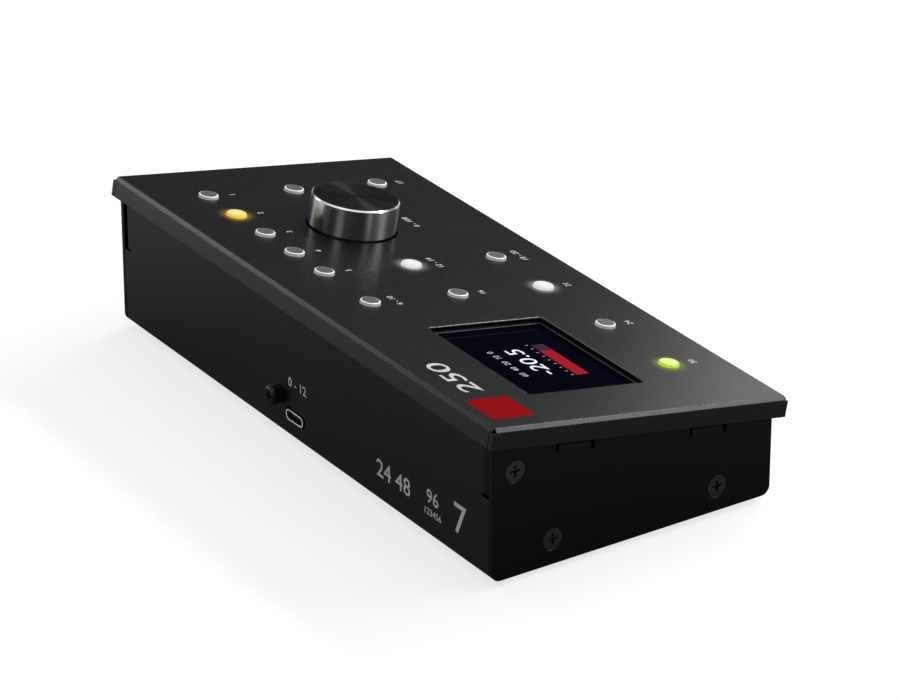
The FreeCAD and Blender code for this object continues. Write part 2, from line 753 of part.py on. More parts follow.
def make_button(name, u, v):
    """A round light-pipe cap whose stem slides in the well of its switch."""
    cap = new_body(f"button_{name}")
    place_on_slope(cap, u, v)
    top = "cover_height + cap_proud"
    stem_end = f"{FLANGE_BOTTOM} - stem_height"
    flange = "cap_diameter / 2 + cap_clearance + flange_overlap"
    section = [
        ("0", stem_end),
        ("stem_diameter / 2", stem_end),
        ("stem_diameter / 2", FLANGE_BOTTOM),
        (flange, FLANGE_BOTTOM),
        (flange, FLANGE_TOP),
        ("cap_diameter / 2", FLANGE_TOP),
        ("cap_diameter / 2", top),
        ("0", top),
    ]
    turn(cap, section)
    dress(cap, "Fillet", "cap_round", round_edge("cap_diameter / 2", top))

    switch = new_body(f"switch_{name}")
    place_on_slope(switch, u, v)
    pad(switch, "XY_Plane", BOARD_TOP, "switch_height", centred("switch_side", "switch_side"))
    cut(switch, "XY_Plane", SWITCH_TOP, "switch_well", ("0", "0", "stem_diameter / 2 + stem_clearance"))


def make_encoder():
    """The rotary encoder: a square case with a round bushing, and the shaft that turns in it."""
    case = new_body("encoder_case")
    place_on_slope(case, KNOB_U, KNOB_V)
    pad(case, "XY_Plane", BOARD_TOP, "encoder_height", centred("encoder_side", "encoder_side"))
    dress(case, "Fillet", "panel_corner", upright)
    pad(case, "XY_Plane", ENCODER_TOP, "bushing_height", ("0", "0", "bushing_diameter / 2"))
    bore = ("0", "0", "shaft_diameter / 2 + shaft_clearance")
    cut(case, "XY_Plane", BUSHING_TOP, "bushing_height + encoder_height - encoder_floor", bore)

    shaft = new_body("encoder_shaft")
    place_on_slope(shaft, KNOB_U, KNOB_V)
    bottom = f"({BOARD_TOP} + encoder_floor + shaft_clearance)"
    top = f"({KNOB_CEILING} - shaft_clearance)"
    pad(shaft, "XY_Plane", bottom, f"{top} - {bottom}", ("0", "0", "shaft_diameter / 2"))
    flat = rectangle("-shaft_diameter", "shaft_diameter", "shaft_diameter / 2 - shaft_flat", "shaft_diameter")
    cut(shaft, "XY_Plane", top, f"{top} - {KNOB_BOSS_END}", flat)


def make_knob():
    """The hollow volume knob: skirt, roof and a central boss with a D-shaped bore."""
    body = new_body("volume_knob")
    place_on_slope(body, KNOB_U, KNOB_V)
    section = [
        ("0", KNOB_TOP),
        ("knob_diameter / 2", KNOB_TOP),
        ("knob_diameter / 2", KNOB_BOTTOM),
        ("knob_diameter / 2 - knob_skirt", KNOB_BOTTOM),
        ("knob_diameter / 2 - knob_skirt", KNOB_CEILING),
        ("knob_boss / 2", KNOB_CEILING),
        ("knob_boss / 2", KNOB_BOSS_END),
        ("0", KNOB_BOSS_END),
    ]
    turn(body, section)
    dress(body, "Chamfer", "knob_chamfer", round_edge("knob_diameter / 2", KNOB_TOP))
    bore = "shaft_diameter / 2 + shaft_clearance"
    depth = f"{KNOB_CEILING} - {KNOB_BOSS_END}"
    cut(body, "XY_Plane", KNOB_CEILING, depth, ("0", "0", bore))
    flat = rectangle(f"-({bore})", bore, f"{bore} - shaft_flat", f"{bore} + shaft_clearance")
    pad(body, "XY_Plane", KNOB_BOSS_END, depth, flat)


def make_usb_socket():
    """The socket's shell and tongue on their small board, which stands on four spacers."""
    shell = new_body("usb_shell")
    outline = centred("socket_width", "socket_height", "socket_x", SOCKET_Z)
    pad(shell, "XZ_Plane", f"-{SOCKET_FACE}", "socket_length", outline)
    dress(shell, "Fillet", "socket_round", socket_corner("0"))
    hollow_out(shell, "socket_wall", lambda f: near(f.CenterOfMass.y, SOCKET_FACE))

    tongue = new_body("usb_tongue")
    outline = centred("tongue_width", "tongue_height", "socket_x", SOCKET_Z)
    length = "socket_length - socket_wall - tongue_setback"
    pad(tongue, "XZ_Plane", f"-({SOCKET_FACE} - tongue_setback)", length, outline)

    board = new_body("usb_board")
    low, high = "socket_x - small_board_width / 2", "socket_x + small_board_width / 2"
    outline = rectangle(low, high, SMALL_BOARD_FRONT, SMALL_BOARD_REAR)
    pad(board, "XY_Plane", SMALL_BOARD_BOTTOM, "board_height", outline)

    spacers = new_body("usb_spacers")
    places = [
        (x, y)
        for x in (f"{low} + spacer_inset", f"{high} - spacer_inset")
        for y in (f"{SMALL_BOARD_FRONT} + spacer_inset", f"{SMALL_BOARD_REAR} - spacer_inset")
    ]
    height = f"{SMALL_BOARD_BOTTOM} - {FLOOR_TOP}"
    pad(spacers, "XY_Plane", FLOOR_TOP, height, *circles(places, "spacer_diameter / 2"))


def make_ribbon():
    """A flat cable from the main board down to the small board, with a header at each end."""
    upper = new_body("ribbon_header_main")
    place_on_slope(upper)
    outline = centred("header_width", "header_depth", "ribbon_x", RIBBON_V)
    header_end = f"({BOARD_BOTTOM} - header_height)"
    pad(upper, "XY_Plane", header_end, "header_height", outline)

    lower = new_body("ribbon_header_usb")
    outline = centred("header_width", "header_depth", "ribbon_x", RIBBON_Y)
    pad(lower, "XY_Plane", SMALL_BOARD_TOP, "header_height", outline)

    cable = new_body("ribbon_cable")
    top_y, top_z = slope_y(RIBBON_V, header_end), slope_z(RIBBON_V, header_end)
    bottom_z = f"{SMALL_BOARD_TOP} + header_height"
    path = [
        (top_y, f"{top_z} - ribbon_radius"),
        (RIBBON_Y, f"{bottom_z} + ribbon_radius"),
        (RIBBON_Y, bottom_z),
    ]
    # The upper end is cut to the slope, so that it lies flat against its header
    half, lean = "ribbon_height / 2", "tan(slope) * ribbon_height / 2"
    front = [(f"{top_y} - {half}", f"{top_z} - {lean}")] + [(f"{y} - {half}", z) for y, z in path]
    back = [(f"{top_y} + {half}", f"{top_z} + {lean}")] + [(f"{y} + {half}", z) for y, z in path]
    start = "ribbon_x - ribbon_width / 2"
    pad(cable, "YZ_Plane", start, "ribbon_width", front + back[::-1])
    bends = [number(z) for _, z in path[:2]]

    def bend(edge):
        return along(edge, (1, 0, 0)) and min(abs(edge.CenterOfMass.z - z) for z in bends) < 1e-3

    dress(cable, "Fillet", "ribbon_radius", bend)


def make_cord_post():
    """A short round post on the rear wall, where a cord can be tied, with its pan head screw."""
    post = new_body("cord_post")
    screw = new_body("cord_post_screw")
    for body in (post, screw):
        place(body, "cord_post_x", "rear_wall_y", "foot_height + cord_post_z", (1, 0, 0), "-90")
    outer, length = "cord_post_diameter / 2", "cord_post_length"
    turn(post, [(THREAD, "0"), (outer, "0"), (outer, length), (THREAD, length)])
    end, head = f"-({THREAD} + 2 * sheet)", "cord_post_length + pan_head_height"
    section = [
        ("0", end),
        ("screw_shank / 2", end),
        ("screw_shank / 2", length),
        ("pan_head / 2", length),
        ("pan_head / 2", head),
        ("0", head),
    ]
    turn(screw, section)
    dress(screw, "Fillet", "pan_head_round", round_edge("pan_head / 2", head))
    cut(screw, "XY_Plane", head, "cross_depth", cross("0", "0"))


def make_foot(name, x, y):
    """A round rubber foot."""
    body = new_body(f"foot_{name}")
    place(body, x, y)
    radius = "foot_diameter / 2"
    turn(body, [("0", "0"), (f"{radius} - foot_taper", "0"), (radius, "foot_height"), ("0", "foot_height")])


def make_feet():
    for name, side in SIDES.items():
        x = f"{side} * ({PLATE_X} - foot_inset)"
        make_foot(f"rear_{name}", x, "rear_wall_y - foot_inset")
        make_foot(f"front_{name}", x, f"{FRONT_Y} + foot_inset")


make_chassis_pan()
for name, side in SIDES.items():
    make_end_plate(name, side)
    make_end_screws(name, side)
make_cover()
make_cover_fixings()
make_display()
make_main_board()
for name, (u, v) in BUTTONS.items():
    make_button(name, u, v)
make_encoder()
make_knob()
make_usb_socket()
make_ribbon()
make_cord_post()
make_feet()

doc.recompute()
for item in doc.Objects:
    if "Invalid" in item.State or "Error" in item.State:
        raise RuntimeError(f"{item.Name} failed: {item.State}")
bodies = doc.findObjects("PartDesign::Body")
for body in bodies:
    if body.Shape.isNull() or not body.Shape.isValid():
        raise RuntimeError(f"{body.Label}: bad shape")
os.makedirs("parts", exist_ok=True)
for body in bodies:
    body.Shape.exportStep(f"parts/{body.Label}.step")
    print(f"{body.Label}: {len(body.Shape.Solids)} solid(s), {body.Shape.Volume:.1f} mm3")
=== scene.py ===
"""The finish, printing, light and camera of a studio monitor controller."""
import math

import bmesh
import bpy
from mathutils import Matrix, Vector


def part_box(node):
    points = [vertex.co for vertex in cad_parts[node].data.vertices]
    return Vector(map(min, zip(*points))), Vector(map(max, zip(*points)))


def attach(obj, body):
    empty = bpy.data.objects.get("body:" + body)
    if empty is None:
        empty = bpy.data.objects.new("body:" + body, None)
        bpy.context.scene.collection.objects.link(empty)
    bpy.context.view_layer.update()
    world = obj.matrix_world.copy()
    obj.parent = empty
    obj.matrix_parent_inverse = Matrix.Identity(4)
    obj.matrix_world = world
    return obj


MM = 0.001
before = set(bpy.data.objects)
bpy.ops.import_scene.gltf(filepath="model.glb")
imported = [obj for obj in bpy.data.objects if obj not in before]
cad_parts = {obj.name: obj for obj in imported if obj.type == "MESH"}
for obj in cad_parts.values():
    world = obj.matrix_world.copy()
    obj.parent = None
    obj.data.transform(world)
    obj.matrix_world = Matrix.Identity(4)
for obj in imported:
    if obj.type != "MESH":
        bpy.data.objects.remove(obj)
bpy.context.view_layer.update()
scene = bpy.context.scene

# The cover's own frame: U along X, V up the slope to the rear, N square to the cover
SLOPE = math.radians(10)
COVER_ORIGIN = Vector((0, 46.8, 42.7)) * MM
U = Vector((1, 0, 0))
V = Vector((0, math.cos(SLOPE), math.sin(SLOPE)))
N = Vector((0, -math.sin(SLOPE), math.cos(SLOPE)))
COVER_REAR = 2.0

# Heights along N in millimetres
SURFACE = 6.1
GLASS_TOP = 4.1
CAP_TOP = 6.88

# Places on the cover in millimetres: U, and the distance from the cover's rear edge
ROWS = {"rear": 19.6, "middle": 49.6, "front": 79.6}
COLUMNS = {
    "rear": (77.9, 61.9, 45.9, 29.9, 13.9, -10.2),
    "middle": (77.9, 13.9, -10.2),
    "front": (77.9, 13.9, -10.2, -40.8, -71.0),
}
BUTTONS = {
    f"button_{row}_{i}": (u, ROWS[row])
    for row, columns in COLUMNS.items()
    for i, u in enumerate(columns, 1)
}
KNOB = (45.9, 49.6)
WINDOW = (-55.85, 44.65)
LARGE_MARK = (-65.0, 11.1)
RED_SQUARE = (-86.9, 11.1)
RED_SQUARE_SIZE = (13.5, 13.8)

# A cap's radii in millimetres: where its bright line, its rounding and its side begin
CAP_RADIUS = 3.0
CAP_LINE = (2.50, 2.60)
CAP_SIDE = (2.72, 2.90)
# How far the cover's painted glow reaches beyond a lit cap
GLOW_REACH = 4.2

# The knob's top begins at this height and its bright cut edge at this radius, in millimetres
KNOB_TOP_FROM = (15.12, 15.17)
KNOB_EDGE_FROM = (12.58, 12.66)
GROOVES_PER_MM = 6.0

# Lit caps: the colour of the middle, then that of the rim and the glow round it
YELLOW = ((0.92, 0.84, 0.18), (1.0, 0.70, 0.03))
LIME = ((0.86, 0.99, 0.10), (0.50, 0.82, 0.02))
WHITE = ((0.88, 0.88, 0.87), (0.84, 0.85, 0.86))
LIT = {
    "button_rear_2": YELLOW,
    "button_middle_2": WHITE,
    "button_front_3": WHITE,
    "button_front_5": LIME,
}

# How strongly caps glow: a lit one from middle to rim, and an unlit one's line and side, whose glow
# is painted light, brightest at the foot of the side
LIT_GLOW = (0.88, 0.80)
PAINTED_LINE_GLOW = 0.52
PAINTED_SIDE_GLOW = (0.28, 0.07)
# The strength of the cover's painted glow round a lit cap
PAINTED_SPILL_GLOW = 0.30

# The radius by which edges are shaded as rounded, in millimetres
LACQUER_EDGE = 0.18
METAL_EDGE = 0.08

# How fine the boards' tracks and the display's cells are
TRACKS_PER_METRE = 180
CELLS_PER_METRE = 5200

# How much of the white backdrop a glossy ray sees; the photograph's black lacquer mirrors little
GLOSS_SHARE = 0.06


def on_cover(u, from_rear, n=SURFACE):
    """A point of the cover's frame in the row frame."""
    return COVER_ORIGIN + (U * u + V * (COVER_REAR - from_rear) + N * n) * MM


def cover_matrix(u, from_rear, n=SURFACE):
    turn = Matrix((U, V, N)).transposed().to_4x4()
    return Matrix.Translation(on_cover(u, from_rear, n)) @ turn


def tone(colour, level=1.0):
    return tuple(part * level for part in colour) + (1.0,)


def grey(level):
    return (level, level, level, 1.0)


class Nodes:
    """The nodes of a material or of the world, built up from a few kinds."""

    def __init__(self, tree):
        self.tree = tree

    def node(self, kind, **settings):
        made = self.tree.nodes.new(kind)
        for key, value in settings.items():
            setattr(made, key, value)
        return made

    def link(self, source, target):
        if isinstance(source, bpy.types.NodeSocket):
            self.tree.links.new(source, target)
        else:
            target.default_value = source

    def link_all(self, made, *sources):
        """Feeds a node's first sockets in their order and gives its first output."""
        for source, target in zip(sources, made.inputs):
            self.link(source, target)
        return made.outputs[0]

    def math(self, operation, a, b):
        return self.link_all(self.node("ShaderNodeMath", operation=operation), a, b)

    def vector(self, operation, a, b=(0, 0, 0)):
        made = self.node("ShaderNodeVectorMath", operation=operation)
        self.link_all(made, a, b)
        return made.outputs["Value" if operation in ("DOT_PRODUCT", "LENGTH") else "Vector"]

    def scaled(self, vector, factor):
        made = self.node("ShaderNodeVectorMath", operation="SCALE")
        self.link(vector, made.inputs[0])
        self.link(factor, made.inputs["Scale"])
        return made.outputs["Vector"]

    def spread(self, value, low, high, start=0.3, end=0.7, curve="LINEAR"):
        """Turns a value between start and end into one between low and high."""
        made = self.node("ShaderNodeMapRange", interpolation_type=curve)
        return self.link_all(made, value, start, end, low, high)

    def shader(self, kind, level):
        return self.link_all(self.node(kind), grey(level))

    def shader_mix(self, factor, a, b):
        return self.link_all(self.node("ShaderNodeMixShader"), factor, a, b)

    def white_share(self):
        """How far a ray sees the white backdrop: the camera and glass wholly, gloss a little."""
        path = self.node("ShaderNodeLightPath")
        total = path.outputs["Is Camera Ray"]
        for output, share in (("Is Transmission Ray", 1.0), ("Is Glossy Ray", GLOSS_SHARE)):
            made = self.node("ShaderNodeMath", operation="MULTIPLY_ADD", use_clamp=True)
            total = self.link_all(made, path.outputs[output], share, total)
        return total


class Finish(Nodes):
    """A procedural material."""

    def __init__(self, name):
        self.material = bpy.data.materials.new(name)
        self.material.use_nodes = True
        super().__init__(self.material.node_tree)
        self.principled = self.tree.nodes["Principled BSDF"]
        self.place = self.node("ShaderNodeTexCoord").outputs["Object"]
        self.normal = None

    def noise(self, size, detail=3.0, stretch=(1, 1, 1)):
        """Noise with grains of this size in millimetres."""
        per_metre = tuple(part / (size * MM) for part in stretch)
        return self.grain(self.vector("MULTIPLY", self.place, per_metre), detail)

    def grain(self, place, detail):
        """Noise with grains of size one in the given coordinates."""
        made = self.node("ShaderNodeTexNoise")
        made.inputs["Scale"].default_value = 1.0
        made.inputs["Detail"].default_value = detail
        self.link(place, made.inputs["Vector"])
        return made.outputs["Fac"]

    def mix(self, factor, a, b):
        made = self.node("ShaderNodeMix", data_type="RGBA")
        self.link(factor, made.inputs["Factor"])
        self.link(a, made.inputs[6])
        self.link(b, made.inputs[7])
        return made.outputs[2]

    def use_normal(self, normal):
        self.normal = normal
        self.link(normal, self.principled.inputs["Normal"])

    def bump(self, height, strength, depth):
        """Adds relief of this depth in millimetres."""
        made = self.node("ShaderNodeBump")
        made.inputs["Strength"].default_value = strength
        made.inputs["Distance"].default_value = depth * MM
        self.link(height, made.inputs["Height"])
        if self.normal is not None:
            self.link(self.normal, made.inputs["Normal"])
        self.use_normal(made.outputs["Normal"])

    def soft_edges(self, radius):
        """Shades edges as if they were rounded by this radius in millimetres."""
        made = self.node("ShaderNodeBevel", samples=6)
        made.inputs["Radius"].default_value = radius * MM
        self.use_normal(made.outputs["Normal"])

    def set(self, **values):
        for name, value in values.items():
            self.link(value, self.principled.inputs[name.replace("_", " ")])

    def from_axis(self, u, from_rear):
        """Where a point lies from a button's or the knob's axis.

        Gives the way out from the axis, and the radius and the height in millimetres.
        """
        local = self.vector("SUBTRACT", self.place, on_cover(u, from_rear, 0.0))
        height = self.vector("DOT_PRODUCT", local, N)
        outward = self.vector("SUBTRACT", local, self.scaled(N, height))
        radius = self.math("MULTIPLY", self.vector("LENGTH", outward), 1 / MM)
        return outward, radius, self.math("MULTIPLY", height, 1 / MM)


def painted(name, level, roughness, gloss=1.5):
    """Fine matt black lacquer on sheet metal."""
    made = Finish(name)
    made.soft_edges(LACQUER_EDGE)
    cloud = made.noise(size=22.0, detail=4.0)
    grain = made.noise(size=0.22, detail=2.0)
    tint = made.spread(cloud, level * 0.85, level * 1.15)
    made.set(Base_Color=made.mix(made.spread(grain, 0.0, 0.5), tint, grey(level * 1.5)))
    rough = made.spread(cloud, roughness - 0.007, roughness + 0.007)
    made.set(Roughness=made.math("ADD", rough, made.spread(grain, -0.02, 0.02)), IOR=gloss)
    made.bump(grain, strength=0.05, depth=0.004)
    return made


def cover_finish():
    """The cover's lacquer, with a painted glow round the lit caps' holes that stands in for the light
    they spill.
    """
    made = painted("cover_lacquer", 0.0032, roughness=0.27, gloss=1.42)
    total = (0, 0, 0)
    for button, (_, colour) in LIT.items():
        _, radius, _ = made.from_axis(*BUTTONS[button])
        # Painted light: the cover glows round each lit cap and fades out over GLOW_REACH
        fall = made.spread(radius, 1.0, 0.0, CAP_RADIUS, CAP_RADIUS + GLOW_REACH)
        glow = made.scaled(colour, made.math("POWER", fall, 3.0))
        total = made.vector("ADD", total, glow)
    made.set(Emission_Color=total, Emission_Strength=PAINTED_SPILL_GLOW)
    return made


def metal(name, colour, roughness):
    """Drawn or plated metal with fine lines."""
    made = Finish(name)
    made.soft_edges(METAL_EDGE)
    cloud = made.noise(size=3.0, detail=4.0)
    lines = made.noise(size=0.3, detail=2.0, stretch=(1, 1, 5))
    made.set(Base_Color=made.mix(cloud, tone(colour, 0.8), tone(colour)), Metallic=1.0)
    made.set(Roughness=made.spread(lines, roughness - 0.06, roughness + 0.06))
    made.bump(lines, strength=0.12, depth=0.01)
    return made


def moulded(name, colour, roughness, grain_size=0.35, relief=0.2):
    """Plastic, rubber or foam with a fine grain."""
    made = Finish(name)
    cloud = made.noise(size=6.0, detail=4.0)
    grain = made.noise(size=grain_size, detail=2.0)
    made.set(Base_Color=made.mix(cloud, tone(colour, 0.8), tone(colour)))
    made.set(Roughness=made.spread(grain, roughness - 0.05, roughness + 0.05))
    made.bump(grain, strength=relief, depth=0.02)
    return made


def cap_finish(name):
    """A frosted cap: grey or lit in the middle, with a bright line round it and a paler side; on an
    unlit cap the line and side also carry a painted glow.
    """
    made = Finish(name)
    _, radius, height = made.from_axis(*BUTTONS[name])
    frost = made.noise(size=0.18)
    line = made.spread(radius, 0.0, 1.0, *CAP_LINE)
    side = made.spread(radius, 0.0, 1.0, *CAP_SIDE)
    cloud = made.spread(made.noise(size=1.6, detail=2.0), 0.85, 1.0)
    if name in LIT:
        middle, rim = (tone(colour) for colour in LIT[name])
        made.set(Base_Color=grey(0.12), Emission_Color=made.mix(line, middle, rim))
        glow = made.spread(radius, *LIT_GLOW, 0.6, CAP_RADIUS)
    else:
        centre = made.mix(frost, grey(0.065), grey(0.10))
        ringed = made.mix(line, centre, grey(0.70))
        made.set(Base_Color=made.mix(side, ringed, grey(0.40)), Emission_Color=grey(1.0))
        # Painted light: an unlit cap glows on its bright line and on its side, most at the side's
        # foot
        painted_line_glow = made.math("MULTIPLY", line, PAINTED_LINE_GLOW)
        painted_side_glow = made.spread(height, *PAINTED_SIDE_GLOW, SURFACE, CAP_TOP - 0.25)
        glow = made.spread(side, painted_line_glow, painted_side_glow, 0.0, 1.0)
    made.set(Emission_Strength=made.math("MULTIPLY", glow, cloud))
    made.set(Roughness=made.spread(frost, 0.36, 0.5), IOR=1.49)
    made.bump(frost, strength=0.12, depth=0.01)
    return made


def knob_finish():
    """Black turned aluminium with circular grooves and a bright cut edge; the side is painted a
    lighter grey than the black top as a painted reflection.
    """
    made = Finish("volume_knob")
    outward, radius, height = made.from_axis(*KNOB)
    groove = made.vector("NORMALIZE", made.vector("CROSS_PRODUCT", N, outward))
    turned = made.node("ShaderNodeVectorTransform", vector_type="VECTOR")
    turned.convert_from, turned.convert_to = "OBJECT", "WORLD"
    made.set(Tangent=made.link_all(turned, groove))
    across = [made.math("MULTIPLY", part, GROOVES_PER_MM) for part in (radius, height)]
    lines = made.grain(made.link_all(made.node("ShaderNodeCombineXYZ"), *across), detail=4.0)
    high = made.spread(height, 0.0, 1.0, *KNOB_TOP_FROM)
    outside = made.spread(radius, 0.0, 1.0, *KNOB_EDGE_FROM)
    edge = made.math("MULTIPLY", high, outside)
    top = made.math("SUBTRACT", high, edge)
    # Top and side are one black metal; the side's lighter grey is a painted reflection
    painted_sheen_side = made.mix(lines, grey(0.30), grey(0.37))
    top_grey = made.mix(lines, grey(0.020), grey(0.031))
    made.set(Base_Color=made.mix(edge, made.mix(top, painted_sheen_side, top_grey), grey(0.95)))
    smoother_top = made.math("MULTIPLY", top, -0.05)
    made.set(Roughness=made.math("ADD", made.spread(lines, 0.27, 0.31), smoother_top))
    made.set(Metallic=1.0, Anisotropic=0.9, Anisotropic_Rotation=0.25)
    return made


def board_finish(name):
    """Dark solder mask over faint tracks."""
    made = Finish(name)
    tracks = made.node("ShaderNodeTexBrick")
    place = made.vector("MULTIPLY", made.place, (TRACKS_PER_METRE,) * 3)
    first, second, gap = (0.004, 0.007, 0.005), (0.005, 0.009, 0.006), (0.012, 0.018, 0.014)
    made.link_all(tracks, place, tone(first), tone(second), tone(gap))
    cloud = made.noise(size=8.0)
    worn = made.spread(cloud, 0.0, 0.35)
    made.set(Base_Color=made.mix(worn, tracks.outputs["Color"], tone((0.002, 0.004, 0.003))))
    made.set(Roughness=made.spread(cloud, 0.28, 0.4), Coat_Weight=0.4)
    made.bump(tracks.outputs["Fac"], strength=0.2, depth=0.03)
    return made


def glass_finish():
    """The dark, faintly blue glass of the switched-on display, with its fine cells."""
    made = Finish("display_glass")
    cloud = made.noise(size=14.0)
    cells = made.node("ShaderNodeTexBrick", offset=0.0)
    made.link_all(cells, made.vector("MULTIPLY", made.place, (CELLS_PER_METRE,) * 3))
    dark, darker = tone((0.0010, 0.0012, 0.005)), tone((0.0006, 0.0007, 0.003))
    glow = made.mix(cells.outputs["Fac"], tone((0.05, 0.04, 0.36)), tone((0.03, 0.02, 0.2)))
    made.set(Base_Color=made.mix(cloud, darker, dark), Emission_Color=glow)
    made.set(Emission_Strength=made.spread(cloud, 0.0012, 0.0022))
    made.set(Roughness=made.spread(cloud, 0.09, 0.13), IOR=1.05)
    return made


def ink(name, colour, glow=0.0, roughness=0.45, gloss=1.3):
    """Printing or a lit part of the display."""
    made = Finish(name)
    speck = made.noise(size=0.15)
    mixed = made.mix(speck, tone(colour, 0.82), tone(colour))
    made.set(Base_Color=mixed, IOR=gloss)
    made.set(Roughness=made.spread(speck, roughness - 0.05, roughness + 0.05))
    if glow:
        made.set(Emission_Color=mixed, Emission_Strength=made.spread(speck, glow * 0.93, glow * 1.07))
    return made


FINISHES = {
    "cover": cover_finish(),
    "chassis_pan": painted("pan_lacquer", 0.0034, roughness=0.36, gloss=1.44),
    "end_plate_left": painted("left_plate_lacquer", 0.0016, roughness=0.38, gloss=1.30),
    "end_plate_right": painted("right_plate_lacquer", 0.0018, roughness=0.38, gloss=1.30),
    "end_screws_left": metal("left_screw_black", (0.09, 0.09, 0.093), 0.42),
    "end_screws_right": metal("right_screw_black", (0.09, 0.09, 0.093), 0.42),
    "cord_post": metal("post_black", (0.04, 0.04, 0.042), 0.42),
    "cord_post_screw": metal("post_screw_black", (0.05, 0.05, 0.052), 0.34),
    "cover_screws": metal("cover_screw_zinc", (0.55, 0.56, 0.58), 0.3),
    "board_screws": metal("board_screw_zinc", (0.5, 0.51, 0.53), 0.32),
    "cover_spacers": metal("cover_spacer_brass", (0.62, 0.45, 0.20), 0.3),
    "board_posts": metal("board_post_brass", (0.60, 0.44, 0.22), 0.32),
    "usb_spacers": metal("usb_spacer_brass", (0.58, 0.43, 0.21), 0.34),
    "encoder_case": metal("encoder_steel", (0.42, 0.42, 0.43), 0.35),
    "encoder_shaft": metal("shaft_steel", (0.60, 0.60, 0.60), 0.25),
    "usb_shell": metal("shell_nickel", (0.86, 0.85, 0.82), 0.2),
    "usb_tongue": moulded("tongue_black", (0.012, 0.012, 0.013), 0.4),
    "display_gasket": moulded("gasket_foam", (0.012, 0.012, 0.012), 0.8, grain_size=0.5, relief=0.5),
    "display_pad": moulded("pad_foam", (0.02, 0.02, 0.022), 0.85, grain_size=0.6, relief=0.6),
    "display_panel": metal("panel_frame", (0.3, 0.3, 0.31), 0.4),
    "display_glass": glass_finish(),
    "main_board": board_finish("main_board_mask"),
    "usb_board": board_finish("usb_board_mask"),
    "ribbon_header_main": moulded("header_main_black", (0.02, 0.02, 0.02), 0.45),
    "ribbon_header_usb": moulded("header_usb_black", (0.022, 0.022, 0.022), 0.45),
    "ribbon_cable": moulded("ribbon_grey", (0.32, 0.32, 0.33), 0.5),
    "volume_knob": knob_finish(),
}
for node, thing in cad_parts.items():
    if node in BUTTONS:
        finish = cap_finish(node)
    elif node.startswith("switch"):
        finish = moulded(f"{node}_black", (0.018, 0.018, 0.019), 0.4)
    elif node.startswith("foot"):
        finish = moulded(f"{node}_rubber", (0.014, 0.014, 0.014), 0.75, grain_size=0.5, relief=0.4)
    else:
        finish = FINISHES[node]
    thing.data.materials.clear()
    thing.data.materials.append(finish.material)


def add_piece(name, mesh, matrix, finish, body="housing"):
    made = bpy.data.objects.new(name, mesh)
    scene.collection.objects.link(made)
    made.matrix_world = matrix
    mesh.materials.clear()
    mesh.materials.append(finish.material)
    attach(made, body)


# Points at each rounded corner, and the smallest radius that a frame's corner keeps
PLATE_CORNER_POINTS = 6
FRAME_CORNER_POINTS = 7
SMALLEST_CORNER = 0.05


def rounded_outline(width, depth, corner, count):
    """The points of a rounded rectangle about the origin."""
    points = []
    for x_sign, y_sign, first in ((1, 1, 0), (-1, 1, 90), (-1, -1, 180), (1, -1, 270)):
        for i in range(count):
            angle = math.radians(first + 90 * i / max(count - 1, 1))
            x = x_sign * (width / 2 - corner) + corner * math.cos(angle)
            y = y_sign * (depth / 2 - corner) + corner * math.sin(angle)
            points.append((x, y))
    return points


def ring_of(made, points, z):
    return [made.verts.new((x * MM, y * MM, z * MM)) for x, y in points]


def join_rings(made, rings):
    for low, high in zip(rings, rings[1:]):
        for i in range(len(low)):
            after = (i + 1) % len(low)
            made.faces.new((low[i], low[after], high[after], high[i]))


def mesh_of(name, made):
    bmesh.ops.recalc_face_normals(made, faces=made.faces)
    mesh = bpy.data.meshes.new(name)
    made.to_mesh(mesh)
    made.free()
    return mesh


def plate_mesh(name, width, depth, height, corner=0.0, bevel=0.02):
    """A flat plate that stands on its own origin, with a bevelled top, in millimetres."""
    made = bmesh.new()
    outline = rounded_outline(width, depth, corner, PLATE_CORNER_POINTS if corner else 1)
    rings = []
    for inset, z in ((0, 0), (0, height - bevel), (bevel, height)):
        narrow, shallow = 1 - 2 * inset / width, 1 - 2 * inset / depth
        rings.append(ring_of(made, [(x * narrow, y * shallow) for x, y in outline], z))
    join_rings(made, rings)
    made.faces.new(rings[-1])
    made.faces.new(rings[0][::-1])
    return mesh_of(name, made)


def frame_mesh(name, width, depth, corner, section):
    """A rounded rectangular frame; the section lists its insets and heights in millimetres."""
    made = bmesh.new()
    rings = []
    for inset, z in section:
        radius = max(corner - inset, SMALLEST_CORNER)
        inner = (width - 2 * inset, depth - 2 * inset)
        rings.append(ring_of(made, rounded_outline(*inner, radius, FRAME_CORNER_POINTS), z))
    join_rings(made, rings + rings[:1])
    return mesh_of(name, made)


CAPITAL_SHARE = 0.69


def text_mesh(name, words, height, thickness, bold=0.0):
    """Figures as a thin raised mesh, with this height of capital in millimetres."""
    curve = bpy.data.curves.new(name, "FONT")
    curve.body = words
    curve.size = height * MM / CAPITAL_SHARE
    curve.extrude = thickness * MM / 2
    curve.offset = bold * MM
    curve.align_x, curve.align_y = "CENTER", "CENTER"
    curve.resolution_u = 3
    holder = bpy.data.objects.new(name + "_curve", curve)
    scene.collection.objects.link(holder)
    bpy.context.view_layer.update()
    shown = holder.evaluated_get(bpy.context.evaluated_depsgraph_get())
    mesh = bpy.data.meshes.new_from_object(shown)
    bpy.data.objects.remove(holder)
    bpy.data.curves.remove(curve)
    made = bmesh.new()
    made.from_mesh(mesh)
    bmesh.ops.remove_doubles(made, verts=made.verts, dist=1e-7)
    made.to_mesh(mesh)
    made.free()
    mesh.name = name
    return mesh


